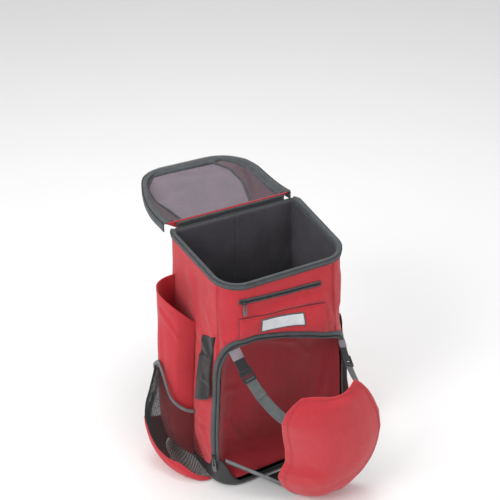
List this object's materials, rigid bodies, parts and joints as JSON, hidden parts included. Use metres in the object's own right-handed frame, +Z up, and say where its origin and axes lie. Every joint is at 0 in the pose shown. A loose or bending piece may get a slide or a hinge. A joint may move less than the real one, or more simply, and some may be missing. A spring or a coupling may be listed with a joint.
{
  "type": "baseball bat backpack",
  "caption": "Upright sports backpack with an open zip lid, side sleeves for bats, net ball pockets and a fold-down front flap that holds a helmet.",
  "frame": {"origin": "under the middle of the bounding box, on the ground plane the base stands on", "axes": "+Z up, -Y out of the front of the bag, +X to the viewer's right when facing the front"},
  "size_m": [0.4732, 0.606, 0.5014],
  "materials": {
    "shell_red": "woven polyester",
    "recess_red": "woven polyester, in shade",
    "coated_black": "coated cloth",
    "lining_grey": "lining cloth",
    "back_grey": "padded cloth",
    "zip_grey": "zip tape and coil",
    "binding_grey": "woven binding",
    "net_black": "open net",
    "webbing_black": "woven webbing",
    "webbing_grey": "woven webbing",
    "buckle_black": "moulded",
    "puller_grey": "moulded",
    "label_white": "woven label, blank"
  },
  "bodies": {
    "root": {"front_panel": "shell_red", "side_panel_left": "shell_red", "side_panel_right": "shell_red", "back_panel": "back_grey", "base_boot": "coated_black", "compartment_lining": "lining_grey", "flap_recess": "recess_red", "rim_zip": "zip_grey", "flap_zip_body": "zip_grey", "front_pocket_zip": "zip_grey", "front_pocket_puller": "puller_grey", "flap_puller_left": "puller_grey", "flap_puller_right": "puller_grey", "pocket_flap": "shell_red", "blank_label": "label_white", "flap_tray": "coated_black", "flap_cup": "shell_red", "flap_zip_edge_left": "binding_grey", "flap_zip_edge_right": "binding_grey", "flap_strap_tab_left": "webbing_black", "flap_strap_left": "webbing_grey", "flap_buckle_left": "buckle_black", "flap_strap_tab_right": "webbing_black", "flap_strap_right": "webbing_grey", "flap_buckle_right": "buckle_black", "lid_shell": "shell_red", "lid_lining": "lining_grey", "lid_hinge": "back_grey", "lid_zip": "zip_grey", "bat_sleeve_left": "shell_red", "ball_pocket_base_left": "shell_red", "ball_pocket_net_left": "net_black", "ball_pocket_binding_left": "binding_grey", "bat_sleeve_right": "shell_red", "ball_pocket_base_right": "shell_red", "ball_pocket_net_right": "net_black", "ball_pocket_binding_right": "binding_grey", "hook_strap_upper_left": "webbing_black", "hook_strap_lower_left": "webbing_black", "hook_strap_upper_right": "webbing_black", "hook_strap_lower_right": "webbing_black", "back_pad": "back_grey", "shoulder_strap_left": "back_grey", "lower_web_left": "webbing_black", "shoulder_strap_right": "back_grey", "lower_web_right": "webbing_black", "haul_handle": "webbing_black"}
  },
  "joints": []
}
